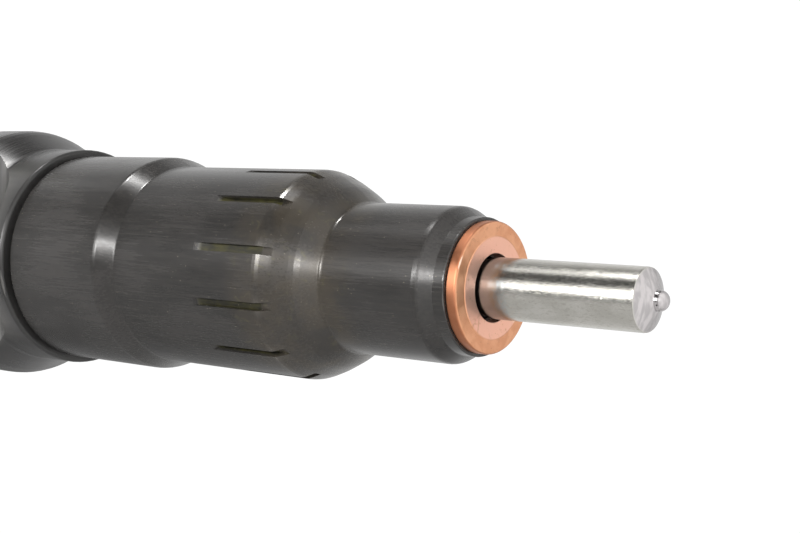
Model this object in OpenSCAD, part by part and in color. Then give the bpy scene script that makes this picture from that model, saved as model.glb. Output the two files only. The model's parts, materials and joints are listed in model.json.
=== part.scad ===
// Servo-valve fuel injector, nozzle end down.
// The injector's axis is Z. Z = 0 is the sealing face of the copper washer, the nozzle
// points to -Z, and the high-pressure inlet points to +X.

/* [Nozzle] */
// Diameter of the nozzle shank
nozzle_shank_d = 7.0; // [5.9:0.1:8.4]
// Length of the shank in front of the sealing face
nozzle_shank_len = 19.3; // [16:0.1:23.2]
// Relief of the shank's radius inside the washer and the nut
shank_relief = 0.2; // [0.2:0.05:0.3]
// Distance from the sealing face to the nozzle's clamping shoulder
nozzle_shoulder_z = 6.0; // [5.6:0.1:7.2]
// Diameter of the nozzle collar
nozzle_collar_d = 14.3; // [13:0.1:17.2]
// Length of the nozzle collar
nozzle_collar_len = 16.0; // [13.3:0.1:19.2]
// Height of the blunt cone at the tip
tip_cone_len = 1.1; // [0.9:0.1:1.4]
// Diameter of the sac nipple
tip_nipple_d = 2.3; // [2:0.1:2.8]
// Length of the sac nipple
tip_nipple_len = 1.2; // [1.1:0.1:1.5]
// Number of spray holes
spray_count = 8; // [5:1:10]
// Diameter of a spray hole
spray_d = 0.18; // [0.15:0.01:0.22]
// Guide diameter of the needle
needle_d = 4.0; // [3.4:0.1:4.4]
// Lift of the needle
needle_lift = 0.25; // [0.2:0.01:0.3]
// Thickness of the stop disc
disc_t = 4.0; // [3.4:0.1:4.8]
// Distance of the fuel passage's centre from the collar's side, at the nozzle's end
passage_inset = 2.05; // [1.7:0.05:2.2]
// Diameter of the fuel passage
passage_d = 1.8; // [1.5:0.1:2]

/* [Sealing washer] */
// Outer diameter of the copper washer
washer_d = 15.1; // [13:0.1:18]
// Thickness of the copper washer
washer_t = 1.45; // [1.2:0.05:1.8]
// Radial gap between the washer and the nozzle shank
washer_gap = 0.4; // [0.2:0.1:0.6]
// Width of the raised ring around the washer's hole
washer_land = 1.9; // [1.2:0.1:2.2]

/* [Nozzle nut] */
// Diameter of the ring that carries the washer
nut_ring_d = 15.9; // [14.5:0.1:17.5]
// Length of that ring
nut_ring_len = 1.45; // [1.2:0.05:1.7]
// Length of the convex shoulder behind the ring
nut_shoulder_len = 1.75; // [1.5:0.05:2.1]
// Wall of the nut around the nozzle collar
nut_nose_wall = 1.85; // [1.6:0.05:2.3]
// Length of the nut's nose cylinder
nut_nose_len = 13.7; // [11.4:0.1:16.4]
// Length of the nut's bulged cone
nut_cone_len = 6.7; // [5.6:0.1:8]
// Wall of the slotted cylinder over the thread
nut_grip_wall = 1.95; // [1.6:0.05:2.4]
// Length of the slotted cylinder
nut_grip_len = 24.4; // [20.4:0.1:29]
// Length of the step to the rear cylinder
nut_step_len = 2.6; // [2.2:0.1:3.2]
// Wall of the rear cylinder over the thread
nut_rear_wall = 3.18; // [2.7:0.02:3.8]
// Length of the rear cylinder
nut_rear_len = 17.0; // [14.2:0.1:20.4]
// Number of spanner slots
slot_count = 12; // [8:1:16]
// Angle by which the tightened nut is turned
nut_turn = -1.7; // [-15:0.1:15]
// Width of a spanner slot
slot_w = 1.0; // [0.8:0.1:1.2]
// Depth of a spanner slot
slot_depth = 0.75; // [0.6:0.05:0.9]
// Length of a slot's full depth, from the cone's rim
slot_len = 7.8; // [6.5:0.1:9.4]

/* [Body] */
// Diameter of the thread between nut and body
body_thread_d = 22.0; // [20.6:0.1:26]
// Gap between the nut and the body's neck
neck_gap = 0.5; // [0.3:0.1:0.8]
// Diameter of the neck behind the nut
body_neck_d = 30.2; // [29:0.1:33]
// Length of the neck
body_neck_len = 6.6; // [5.5:0.1:7.9]
// Length of the round shoulder between neck and collar
body_shoulder_len = 5.2; // [4.4:0.1:6.2]
// Diameter of the collar
body_collar_d = 35.6; // [35:0.1:40]
// Length of the collar
body_collar_len = 6.4; // [5.4:0.1:7.6]
// Diameter of the barrel
body_barrel_d = 34.6; // [31:0.1:34.8]
// Length of the barrel
body_barrel_len = 28.9; // [26:0.1:34.6]
// Distance between the two spanner flats
flat_width = 18.0; // [16.2:0.2:20]
// Radius of the cutter that leaves the flats' run-out
flat_cutter_r = 8.0; // [7:0.5:9]
// Length of the flats' full depth
flat_len = 6.0; // [4:0.5:7.2]
// Diameter of the spring chamber
spring_chamber_d = 6.6; // [6.2:0.1:6.8]
// Length of the spring chamber
spring_chamber_len = 26.0; // [22:0.5:31]
// Radial gap around the plunger below its guide
plunger_clearance = 0.3; // [0.25:0.05:0.4]

/* [Inlet] */
// Distance from the barrel's end down to the inlet axis
inlet_drop = 6.0; // [5:0.5:7]
// Diameter of the inlet boss
boss_d = 18.0; // [15:0.5:19]
// Distance from the barrel's side to the boss face
boss_stand = 2.7; // [2.2:0.1:3.2]
// Diameter of the thread that holds the connector
port_d = 12.0; // [11:0.5:13]
// Depth of the port
port_depth = 9.5; // [7.9:0.1:9.9]
// Thickness of the seal ring in the port
inlet_seal_t = 1.2; // [1:0.1:1.4]
// Distance across the connector's flats
connector_af = 17.0; // [15:0.5:17]
// Length of the connector's hexagon
connector_hex_len = 6.0; // [5:0.5:7]
// Diameter of the pipe thread
connector_thread_d = 14.0; // [12:0.5:15]
// Length of the pipe thread
connector_thread_len = 13.0; // [11:0.5:15.5]
// Diameter of the connector's bore
connector_bore_d = 4.2; // [3.6:0.1:4.6]
// Length of the edge filter
filter_len = 14.0; // [12:0.5:16]

/* [Seals on the body] */
// Section of the O-ring on the barrel
o_ring_t = 2.9; // [2.4:0.1:3.2]
// Thickness of the backup ring
backup_t = 1.4; // [1.2:0.1:1.6]
// Distance from the collar's end to the O-ring groove
groove_offset = 6.4; // [5.6:0.1:6.8]

/* [Control valve] */
// Diameter of the valve piece's sleeve
sleeve_d = 9.3; // [9:0.1:10]
// Length of the sleeve below the flange
sleeve_len = 12.0; // [11:0.5:13]
// Diameter of the valve piece's flange
flange_d = 14.8; // [13.6:0.1:15.6]
// Thickness of the flange
flange_t = 3.5; // [3:0.1:4.2]
// Diameter of the control plunger's guide
plunger_d = 4.3; // [3.8:0.1:4.5]
// Width of the pressure gap around the sleeve
annulus_w = 0.7; // [0.6:0.05:0.8]
// Height of the seal ring around the sleeve
sleeve_ring_t = 1.4; // [1.2:0.1:1.6]
// Diameter of the throttle bores
throttle_d = 0.3; // [0.25:0.01:0.35]
// Diameter of the valve ball
ball_d = 1.3; // [1.2:0.05:1.4]
// How far the clamp screw's thread is outside the flange
clamp_screw_land = 1.2; // [1:0.1:1.5]
// Length of the clamp screw
clamp_screw_len = 4.8; // [4.2:0.1:5.1]

/* [Armature] */
// Lift of the armature
armature_lift = 0.05; // [0.04:0.01:0.06]
// Air gap that stays open when the armature is lifted
residual_gap = 0.05; // [0.04:0.01:0.07]
// Over-travel of the plate on its bolt
plate_travel = 0.04; // [0.03:0.01:0.05]
// Diameter of the armature bolt
bolt_d = 2.94; // [2.6:0.02:3.2]
// Diameter of the guide's sleeve
guide_sleeve_d = 5.8; // [5.4:0.1:6.1]
// How far the armature plate's edge is inside the magnet core's
plate_inset = 0.6; // [0.5:0.1:1.5]
// Thickness of the armature plate
plate_t = 2.2; // [1.9:0.1:2.6]
// Thickness of the clip on the bolt
clip_t = 0.7; // [0.6:0.05:0.8]

/* [Solenoid] */
// Wall of the housing's spigot in the armature chamber
spigot_wall = 1.85; // [1.6:0.05:2.2]
// Wall of the body around the armature chamber
chamber_wall = 2.1; // [2:0.1:2.6]
// Depth of the armature chamber
chamber_depth = 5.0; // [4.6:0.1:5.6]
// Thickness of the lift shim
lift_shim_t = 1.2; // [1:0.05:1.4]
// Length of the magnet core
core_len = 15.7; // [14:0.1:18]
// Diameter of the bore through the magnet core
core_bore_d = 7.2; // [7:0.1:7.8]
// Wall of the magnet core inside the coil
core_inner_wall = 1.3; // [1.1:0.1:1.5]
// Width of the coil slot
coil_width = 2.8; // [2.4:0.1:3.3]
// Wall of the magnet core outside the coil
core_outer_wall = 1.7; // [1.4:0.1:2]
// Depth of the coil slot
coil_depth = 10.7; // [9:0.1:11.5]
// Height of the housing's clamping flange
housing_flange_t = 3.0; // [2.5:0.1:3.6]
// Wall of the housing around the magnet core
housing_wall = 1.75; // [1.5:0.05:2.1]
// Thickness of the housing's closed end
housing_end_t = 2.5; // [2.1:0.1:3]
// Wall of the solenoid nut between its flats and the thread
nut_wall = 2.5; // [2.1:0.1:3]
// Height of the solenoid nut's hexagon
nut_hex_len = 10.5; // [9:0.5:12.5]
// Height of the solenoid nut's skirt
nut_skirt_len = 5.5; // [4.6:0.1:6.5]
// Thickness of the solenoid nut's inner lip
nut_lip_t = 3.0; // [2.5:0.1:3.6]

/* [Terminals] */
// Wall of the terminal cap's skirt
cap_wall = 1.15; // [1:0.05:1.4]
// Height of the cap over the housing's end
cap_top_t = 7.5; // [6.5:0.1:9]
// Depth of the cap's skirt around the housing
cap_skirt_len = 6.5; // [5.4:0.1:7.8]
// Thickness of the insulator plate
insulator_t = 1.0; // [0.8:0.1:1.2]
// Distance between the two studs
stud_spacing = 12.6; // [11.8:0.1:13]
// Diameter of a stud
stud_d = 4.0; // [3.6:0.1:4.4]
// Length of a stud above the cap
stud_len = 11.5; // [9.6:0.1:13.8]
// Distance across a terminal nut's flats
terminal_nut_af = 7.0; // [6.4:0.1:8]
// Height of a terminal nut
terminal_nut_t = 3.2; // [2.7:0.1:3.8]
// Height of the rib between the studs
rib_h = 6.0; // [5:0.5:7]

/* [Fits] */
// Radial gap between pieces that are screwed or clamped together
fit_gap = 0.05; // [0.03:0.01:0.08]
// Radial gap of a sliding guide
guide_gap = 0.03; // [0.02:0.01:0.05]
// Gap that keeps a closed valve seat free of overlap
seat_gap = 0.02; // [0.01:0.01:0.03]

/* [Hidden] */

// Smoothness of turned surfaces, and a small length that makes cuts run clear of faces
$fn = 96;
past = 0.5;

// Nozzle, from the tip upwards
tip_z = -(nozzle_shank_len + tip_cone_len + tip_nipple_len);
nipple_z = tip_z + tip_nipple_len;
cone_z = nipple_z + tip_cone_len;
collar_top_z = nozzle_shoulder_z + nozzle_collar_len;
disc_top_z = collar_top_z + disc_t;
sac_r = 0.45;
sac_depth = 0.8;
fuel_bore_r = needle_d / 2 + 0.35;
seat_z = nipple_z + 0.3;
seat_top_z = seat_z + (fuel_bore_r - sac_r) / tan(30);
gallery_r = needle_d / 2 + 1.2;
passage_x = nozzle_collar_d / 2 - passage_inset;
gallery_z = nozzle_shoulder_z + 0.8;
gallery_len = 4.2;
needle_shaft_r = needle_d / 2 - 0.4;
needle_stem_r = needle_d / 4;
needle_top_z = disc_top_z + 0.3;
dowel_r = 0.9;
dowel_ring_r = nozzle_collar_d / 2 - 1.85;
dowel_angles = [110, 250];
dowel_depth = 3;

// Nozzle nut
ring_top_z = washer_t + nut_ring_len;
nose_z = ring_top_z + nut_shoulder_len;
nut_cone_z = nose_z + nut_nose_len;
rim_z = nut_cone_z + nut_cone_len;
step_z = rim_z + nut_grip_len;
rear_z = step_z + nut_step_len;
nut_end_z = rear_z + nut_rear_len;
collar_bore_r = nozzle_collar_d / 2 + 2 * fit_gap;
nut_nose_r = collar_bore_r + nut_nose_wall;
thread_r = body_thread_d / 2;
body_nose_r = thread_r - 1.4;
grip_r = thread_r + nut_grip_wall;
nut_rear_r = thread_r + nut_rear_wall;
thread_start_z = disc_top_z + 14;
slot_cutter_r = 5;

// Body, from the neck upwards
neck_z = nut_end_z + neck_gap;
shoulder_z = neck_z + body_neck_len;
collar_z = shoulder_z + body_shoulder_len;
collar_end_z = collar_z + body_collar_len;
barrel_top_z = collar_end_z + body_barrel_len;
barrel_r = body_barrel_d / 2;
flat_z = collar_z - 2.3;
spring_top_z = disc_top_z + spring_chamber_len;
inlet_z = barrel_top_z - inlet_drop;
groove_z = collar_end_z + groove_offset;
groove_r = barrel_r + 0.35 - o_ring_t;
groove_len = o_ring_t + backup_t + 0.5;
plunger_bore_r = plunger_d / 2 + plunger_clearance;
pin_r = spring_chamber_d / 2 - 1.7;
boss_x = barrel_r + boss_stand;
port_floor_x = boss_x - port_depth;
top_passage_x = port_floor_x - 1.5;

// Control valve, from the flange's seat upwards
valve_z = barrel_top_z + 1;
valve_top_z = valve_z + flange_t;
sleeve_z = valve_z - sleeve_len;
annulus_r = sleeve_d / 2 + annulus_w;
sleeve_ring_z = sleeve_z + 2;
chamber_ceiling_z = valve_z - 3;
plunger_top_z = chamber_ceiling_z - needle_lift - 0.35;
plunger_z = spring_top_z + 2;
shim_t = 1;
guide_t = 2.7;
guide_top_z = valve_top_z + guide_t;
recess_r = 2.6;
recess_h = 1.7;
recess_top_z = valve_top_z + recess_h;
flow_r = flange_d / 2 - 2.4;
flow_h = 0.5;
seat_mouth_r = 0.75;
ball_z = valve_top_z - seat_mouth_r + ball_d / 2 * sqrt(2) + seat_gap / 2;
ball_guide_top_z = recess_top_z - armature_lift - 0.55;
screw_r = flange_d / 2 + clamp_screw_land;
screw_top_z = guide_top_z + clamp_screw_len;
screw_bore_r = flange_d / 2 - 2.2;

// Armature and solenoid
ledge_z = screw_top_z + 0.5;
body_top_z = ledge_z + chamber_depth;
coil_inner_r = core_bore_d / 2 + core_inner_wall;
coil_outer_r = coil_inner_r + coil_width;
core_r = coil_outer_r + core_outer_wall;
housing_bore_r = core_r + fit_gap;
housing_r = housing_bore_r + housing_wall;
chamber_r = max(housing_bore_r + spigot_wall, screw_r + 1) + 0.1;
top_thread_r = chamber_r + chamber_wall;
spigot_z = ledge_z + lift_shim_t;
core_z = body_top_z - 0.2;
plate_top_z = core_z - armature_lift - residual_gap;
plate_z = plate_top_z - plate_t;
sleeve_top_z = plate_z - plate_travel;
bolt_top_z = plate_top_z + clip_t + 2.6;
core_top_z = core_z + core_len;
coil_top_z = core_z + coil_depth;
shim_seat_z = core_top_z - 3;
housing_top_z = core_top_z + housing_end_t;
flange_top_z = body_top_z + housing_flange_t;
nut_bottom_z = flange_top_z + nut_lip_t - nut_hex_len - nut_skirt_len;
nut_top_z = flange_top_z + nut_lip_t;
skirt_r = top_thread_r + 2.1;
insulator_top_z = housing_top_z + insulator_t;
foot_t = 1.2;
cap_top_z = housing_top_z + cap_top_t;
cap_r = housing_r + fit_gap + cap_wall;
terminal_washer_t = 0.8;
terminal_nut_z = cap_top_z + terminal_washer_t;
stud_x = stud_spacing / 2;
stud_shank_r = stud_d / 2 - 0.23;
lead_x = (coil_inner_r + coil_outer_r) / 2;
lead_r = 0.4;
wire_r = (coil_width - 1.1) / 8;

// Corner b of an outline, rounded with radius rad between its neighbours a and c
function unit(v) = v / norm(v);
function corner(a, b, c, rad) =
    rad == 0 ? [b] :
    let (u = unit(a - b),
        v = unit(c - b),
        half = acos(u * v) / 2,
        centre = b + unit(u + v) * rad / sin(half),
        start = b + u * rad / tan(half) - centre,
        end = b + v * rad / tan(half) - centre,
        from = atan2(start.y, start.x),
        sweep = (atan2(end.y, end.x) - from + 540) % 360 - 180,
        steps = max(2, ceil(abs(sweep) / 12)))
    [for (i = [0:steps]) centre + rad * [cos(from + sweep * i / steps), sin(from + sweep * i / steps)]];

function flat_point(p) = [p[0], p[1]];

// Outline with corner radii: each point is [radius, height] or [radius, height, rounding]
function outline(pts) =
    let (n = len(pts))
    [for (i = [0:n - 1])
        each corner(flat_point(pts[(i + n - 1) % n]), flat_point(pts[i]),
            flat_point(pts[(i + 1) % n]), len(pts[i]) > 2 ? pts[i][2] : 0)];

module turned(pts) {
    rotate_extrude() polygon(outline(pts));
}

module ring(inner_r, outer_r, z0, z1, edge = 0) {
    turned([[inner_r, z0], [outer_r, z0, edge], [outer_r, z1, edge], [inner_r, z1]]);
}

module bore(r, z0, z1) {
    translate([0, 0, z0]) cylinder(r = r, h = z1 - z0);
}

module o_ring(inner_r, section, z) {
    translate([0, 0, z]) rotate_extrude() translate([inner_r + section / 2, 0]) circle(d = section, $fn = 32);
}

// Round hole between two points of the XZ plane
module slanted_bore(r, from, to) {
    run = to - from;
    translate([from.x, 0, from.y])
        rotate([0, atan2(run.x, run.y), 0])
        cylinder(r = r, h = norm(run), $fn = 32);
}

// Hexagonal nut blank with both ends chamfered
module hexagon(af, z0, z1) {
    corner_r = af / 2 / cos(30);
    bevel = corner_r - af / 2;
    intersection() {
        translate([0, 0, z0]) cylinder(r = corner_r, h = z1 - z0, $fn = 6);
        turned([[0, z0], [af / 2, z0], [corner_r + 0.1, z0 + bevel * 0.6], [corner_r + 0.1, z1 - bevel * 0.6],
            [af / 2, z1], [0, z1]]);
    }
}

// Closed-end coil spring between z0 and z1
module coil_spring(mean_r, section_r, z0, z1, turns, sides = 8, per_turn = 20) {
    count = turns * per_turn;
    low = z0 + section_r;
    rise = z1 - z0 - 2 * section_r;
    function height(t) = low + rise * min(1, max(0, (t - 0.9) / (turns - 1.8)));
    points = [for (i = [0:count])
        let (a = 360 * i / per_turn)
        for (j = [0:sides - 1])
            let (b = 360 * j / sides, r = mean_r + section_r * 0.98 * cos(b))
            [r * cos(a), r * sin(a), height(i / per_turn) + section_r * 0.98 * sin(b)]];
    walls = [for (i = [0:count - 1])
        for (j = [0:sides - 1])
            let (k = (j + 1) % sides)
            [i * sides + j, (i + 1) * sides + j, (i + 1) * sides + k, i * sides + k]];
    start_cap = [[for (j = [0:sides - 1]) j]];
    end_cap = [[for (j = [sides - 1:-1:0]) count * sides + j]];
    polyhedron(points, concat(walls, start_cap, end_cap));
}

module at_studs() {
    for (side = [-1, 1])
        translate([side * stud_x, 0, 0]) children();
}

module at_leads() {
    for (side = [-1, 1])
        translate([side * lead_x, 0, 0]) children();
}

module dowel_places() {
    for (a = dowel_angles)
        rotate([0, 0, a]) translate([dowel_ring_r, 0, 0]) children();
}

module nozzle_body() {
    color("#a9a79c") difference() {
        turned([[0, tip_z], [tip_nipple_d / 2, tip_z, tip_nipple_d * 0.44],
            [tip_nipple_d / 2, nipple_z, 0.15], [nozzle_shank_d / 2 - 0.05, cone_z, 0.1],
            [nozzle_shank_d / 2, cone_z + 0.3], [nozzle_shank_d / 2, 0],
            [nozzle_shank_d / 2 - shank_relief, 0], [nozzle_shank_d / 2 - shank_relief, nozzle_shoulder_z],
            [nozzle_collar_d / 2, nozzle_shoulder_z, 0.3], [nozzle_collar_d / 2, collar_top_z, 0.3],
            [0, collar_top_z]]);
        turned([[0, seat_z - sac_depth], [sac_r, seat_z - sac_depth, sac_r * 0.9], [sac_r, seat_z],
            [fuel_bore_r, seat_top_z], [fuel_bore_r, gallery_z], [gallery_r, gallery_z, 0.8],
            [gallery_r, gallery_z + gallery_len, 0.8], [needle_d / 2, gallery_z + gallery_len],
            [needle_d / 2, collar_top_z + past], [0, collar_top_z + past]]);
        slanted_bore(passage_d / 2 - 0.05, [gallery_r - 0.8, gallery_z + gallery_len / 2],
            [passage_x + 0.1, collar_top_z + past]);
        for (i = [0:spray_count - 1])
            rotate([0, 0, (i + 0.5) * 360 / spray_count])
                translate([0, 0, seat_z - sac_depth * 0.55])
                rotate([0, 103, 0])
                cylinder(d = spray_d, h = tip_nipple_d, $fn = 16);
        dowel_places() bore(dowel_r + fit_gap, collar_top_z - dowel_depth - 0.2, collar_top_z + past);
    }
}

module nozzle_needle() {
    tip_r = sac_r * 0.6;
    lift = seat_gap / sin(30);
    color("#c9c9c6")
        turned([[0, seat_z + lift + (tip_r - sac_r) / tan(30)],
            [tip_r, seat_z + lift + (tip_r - sac_r) / tan(30)],
            [needle_shaft_r, seat_z + lift + (needle_shaft_r - sac_r) / tan(30)],
            [needle_shaft_r, gallery_z + 2], [needle_d / 2 - guide_gap, gallery_z + 3],
            [needle_d / 2 - guide_gap, collar_top_z - needle_lift, 0.1],
            [needle_stem_r, collar_top_z - needle_lift], [needle_stem_r, needle_top_z, 0.2],
            [0, needle_top_z]]);
}

module sealing_washer() {
    inner_r = nozzle_shank_d / 2 + washer_gap;
    land_r = inner_r + washer_land;
    color("#c8763f")
        turned([[inner_r, 0, 0.08], [land_r, 0], [land_r + 0.12, 0.07], [washer_d / 2, 0.07, 0.3],
            [washer_d / 2, washer_t, 0.18], [inner_r, washer_t, 0.08]]);
}

module nozzle_nut() {
    cone_rise = grip_r - nut_nose_r;
    color("#524e49") difference() {
        turned([[nozzle_shank_d / 2 + 2 * fit_gap, washer_t], [nut_ring_d / 2, washer_t, 0.2],
            [nut_ring_d / 2 + 0.05, ring_top_z, 0.15], [nut_nose_r, nose_z, 1.5],
            [nut_nose_r, nut_cone_z, 1],
            [nut_nose_r + 0.48 * cone_rise, nut_cone_z + 0.36 * nut_cone_len, 8],
            [nut_nose_r + 0.8 * cone_rise, nut_cone_z + 0.72 * nut_cone_len, 8], [grip_r, rim_z, 2.5],
            [grip_r, step_z, 0.8], [nut_rear_r, rear_z, 1.6], [nut_rear_r, nut_end_z, 0.4],
            [thread_r + 0.6, nut_end_z], [thread_r + fit_gap, nut_end_z - 0.9],
            [thread_r + fit_gap, thread_start_z - 1.5], [body_nose_r + 0.15, thread_start_z - 3],
            [body_nose_r + 0.15, disc_top_z - 0.4], [collar_bore_r, disc_top_z - 0.4],
            [collar_bore_r, nozzle_shoulder_z], [nozzle_shank_d / 2 + 2 * fit_gap, nozzle_shoulder_z]]);
        for (i = [0:slot_count - 1])
            rotate([0, 0, (i + 0.5) * 360 / slot_count - 90 + nut_turn]) spanner_slot();
    }
}

// Saw slot in the nut's rim, open to the cone and running out at its rear end
module spanner_slot() {
    floor_r = grip_r - slot_depth;
    translate([floor_r, -slot_w / 2, rim_z - 4]) cube([slot_depth + past, slot_w, slot_len + 4]);
    translate([floor_r + slot_cutter_r, slot_w / 2, rim_z + slot_len])
        rotate([90, 0, 0])
        cylinder(r = slot_cutter_r, h = slot_w, $fn = 64);
}

module stop_disc() {
    color("#b4b4b0") difference() {
        ring(needle_stem_r + 0.3, nozzle_collar_d / 2 - 0.05, collar_top_z, disc_top_z, 0.25);
        translate([passage_x, 0, 0]) bore(passage_d / 2, collar_top_z - past, disc_top_z + past);
        dowel_places() bore(dowel_r + fit_gap, collar_top_z - past, disc_top_z + past);
    }
}

module dowel_pins() {
    color("#8c8c88")
        dowel_places() ring(0, dowel_r, collar_top_z - dowel_depth, disc_top_z + dowel_depth, 0.2);
}

module pressure_pin() {
    foot_r = spring_chamber_d / 2 - 0.3;
    color("#9fa09c")
        turned([[0, needle_top_z], [foot_r, needle_top_z, 0.2], [foot_r, needle_top_z + 2, 0.2],
            [pin_r, needle_top_z + 2, 0.2], [pin_r, plunger_z, 0.3], [0, plunger_z]]);
}

module nozzle_spring() {
    wire = 0.5;
    color("#6f7277")
        coil_spring(spring_chamber_d / 2 - 0.15 - wire, wire, needle_top_z + 2.02,
            spring_top_z - shim_t - 0.02, 10);
}

module spring_shim() {
    color("#b9b9b4") ring(pin_r + 0.3, spring_chamber_d / 2 - 0.1, spring_top_z - shim_t, spring_top_z);
}

module control_plunger() {
    guide_r = plunger_d / 2 - guide_gap;
    end_r = plunger_d / 2 - 0.25;
    color("#c4c4c0")
        turned([[0, plunger_z], [end_r, plunger_z, 0.4], [end_r, plunger_z + 5], [end_r - 0.2, plunger_z + 6],
            [end_r - 0.2, sleeve_z - 3], [guide_r, sleeve_z - 1], [guide_r, plunger_top_z, 0.2],
            [0, plunger_top_z]]);
}

// Spanner flat with a round run-out at both ends
module flat_cut() {
    reach = 60;
    for (side = [-1, 1]) {
        depth_y = side * (flat_width / 2 + flat_cutter_r);
        for (z = [flat_z, flat_z + flat_len])
            translate([-reach / 2, depth_y, z]) rotate([0, 90, 0]) cylinder(r = flat_cutter_r, h = reach);
        translate([-reach / 2, side * (flat_width / 2 + flat_cutter_r) - flat_cutter_r, flat_z])
            cube([reach, 2 * flat_cutter_r, flat_len]);
    }
}

module body_blank() {
    relief_r = thread_r - 0.8;
    turned([[0, disc_top_z], [body_nose_r, disc_top_z, 0.4], [body_nose_r, thread_start_z - 1],
        [thread_r, thread_start_z], [thread_r, nut_end_z - 3], [relief_r, nut_end_z - 2.4],
        [relief_r, neck_z], [body_neck_d / 2, neck_z, 0.5], [body_neck_d / 2, shoulder_z, 1.5],
        [body_collar_d / 2, collar_z, 5], [body_collar_d / 2, collar_end_z, 1.5],
        [barrel_r, collar_end_z + 1, 1], [barrel_r, barrel_top_z, 0.5],
        [top_thread_r - 0.4, barrel_top_z], [top_thread_r - 0.4, nut_bottom_z + 1],
        [top_thread_r, nut_bottom_z + 1.6], [top_thread_r, body_top_z, 0.4], [0, body_top_z]]);
    translate([0, 0, inlet_z])
        rotate([0, 90, 0])
        turned([[0, 4], [boss_d / 2, 4], [boss_d / 2, boss_x, 0.8], [0, boss_x]]);
}

module body_bores() {
    bore(spring_chamber_d / 2, disc_top_z - past, spring_top_z);
    bore(plunger_bore_r, disc_top_z, sleeve_z);
    bore(sleeve_d / 2 + fit_gap, sleeve_z - 0.5, valve_z);
    bore(annulus_r, sleeve_ring_z, valve_z);
    bore(flange_d / 2 + fit_gap, valve_z, body_top_z);
    bore(screw_r + fit_gap, guide_top_z - 0.2, body_top_z);
    bore(chamber_r, ledge_z, body_top_z + past);
    slanted_bore(passage_d / 2, [passage_x - 0.02, disc_top_z - past], [top_passage_x, inlet_z]);
    translate([annulus_r - 0.3, 0, inlet_z]) rotate([0, 90, 0]) cylinder(r = 1.25, h = boss_x, $fn = 32);
    translate([port_floor_x, 0, inlet_z]) rotate([0, 90, 0]) cylinder(d = port_d, h = boss_x);
    dowel_places() bore(dowel_r + fit_gap, disc_top_z - past, disc_top_z + dowel_depth + 0.2);
}

// Leak-off passage, from the valve chamber down to the side of the barrel
module return_bore() {
    rotate([0, 0, 90])
        slanted_bore(1.25, [barrel_r + 1, inlet_z - 9], [flange_d / 2 - 0.4, valve_top_z + 0.9]);
}

module injector_body() {
    color("#504c48") difference() {
        body_blank();
        body_bores();
        return_bore();
        flat_cut();
        ring(groove_r, barrel_r + 2, groove_z, groove_z + groove_len);
    }
}

module inlet_connector() {
    root_x = port_floor_x + inlet_seal_t;
    hex_x = boss_x + 0.8;
    thread_x = hex_x + connector_hex_len;
    end_x = thread_x + connector_thread_len;
    bore_r = connector_bore_d / 2;
    mouth_r = connector_thread_d / 2 - 1.6;
    color("#8f8f88") translate([0, 0, inlet_z]) rotate([0, 90, 0]) difference() {
        union() {
            turned([[0, root_x], [port_d / 2 - fit_gap, root_x, 0.4], [port_d / 2 - fit_gap, boss_x - 0.6],
                [port_d / 2 - 0.6, boss_x], [port_d / 2 - 0.6, hex_x + 1], [0, hex_x + 1]]);
            hexagon(connector_af, hex_x, thread_x);
            turned([[0, thread_x - 1], [connector_thread_d / 2 - 0.7, thread_x - 1],
                [connector_thread_d / 2 - 0.7, thread_x + 0.7], [connector_thread_d / 2, thread_x + 1.4],
                [connector_thread_d / 2, end_x - 0.8], [connector_thread_d / 2 - 0.8, end_x], [0, end_x]]);
        }
        bore(bore_r, root_x - past, end_x + past);
        turned([[0, end_x - (mouth_r - bore_r) / tan(30)], [bore_r, end_x - (mouth_r - bore_r) / tan(30)],
            [mouth_r, end_x], [mouth_r, end_x + past], [0, end_x + past]]);
    }
}

// Bar filter: a ground rod with flutes that leave a fine gap to the bore
module edge_filter() {
    rod_r = connector_bore_d / 2 - 0.02;
    start_x = port_floor_x + inlet_seal_t + 3;
    color("#b8b4a4") translate([0, 0, inlet_z]) rotate([0, 90, 0]) difference() {
        ring(0, rod_r, start_x, start_x + filter_len, 0.3);
        for (i = [0:5])
            rotate([0, 0, i * 60])
                translate([rod_r, 0, start_x + (i % 2 == 0 ? -past : 2)])
                cylinder(r = 0.45, h = filter_len - 2 + past, $fn = 16);
    }
}

module inlet_seal_ring() {
    color("#7d7f82") translate([0, 0, inlet_z]) rotate([0, 90, 0])
        ring(1.5, port_d / 2 - 0.6, port_floor_x, port_floor_x + inlet_seal_t, 0.2);
}

module body_o_ring() {
    color("#1d1d1f") o_ring(groove_r + 0.02, o_ring_t, groove_z + o_ring_t / 2 + 0.05);
}

module backup_ring() {
    color("#d8d4c8")
        ring(groove_r + 0.05, barrel_r - 0.05, groove_z + o_ring_t + 0.3, groove_z + o_ring_t + 0.3 + backup_t, 0.1);
}

module valve_piece() {
    apex_z = valve_top_z - seat_mouth_r;
    color("#b7b8b4") difference() {
        turned([[0, sleeve_z], [sleeve_d / 2, sleeve_z, 0.3], [sleeve_d / 2, valve_z],
            [flange_d / 2, valve_z, 0.2], [flange_d / 2, valve_top_z, 0.3], [0, valve_top_z]]);
        bore(plunger_d / 2, sleeve_z - past, chamber_ceiling_z);
        bore(throttle_d / 2, chamber_ceiling_z - past, valve_top_z);
        turned([[0, apex_z], [seat_mouth_r + past, valve_top_z + past], [0, valve_top_z + past]]);
        translate([0, 0, chamber_ceiling_z - throttle_d])
            rotate([0, 90, 0])
            cylinder(d = throttle_d, h = sleeve_d, $fn = 16);
    }
}

module sleeve_seal_ring() {
    color("#d9c9a0") ring(sleeve_d / 2 + 0.03, annulus_r - 0.03, sleeve_ring_z, sleeve_ring_z + sleeve_ring_t, 0.1);
}

module valve_ball() {
    color("#9a9da3") translate([0, 0, ball_z]) sphere(d = ball_d, $fn = 48);
}

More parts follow.
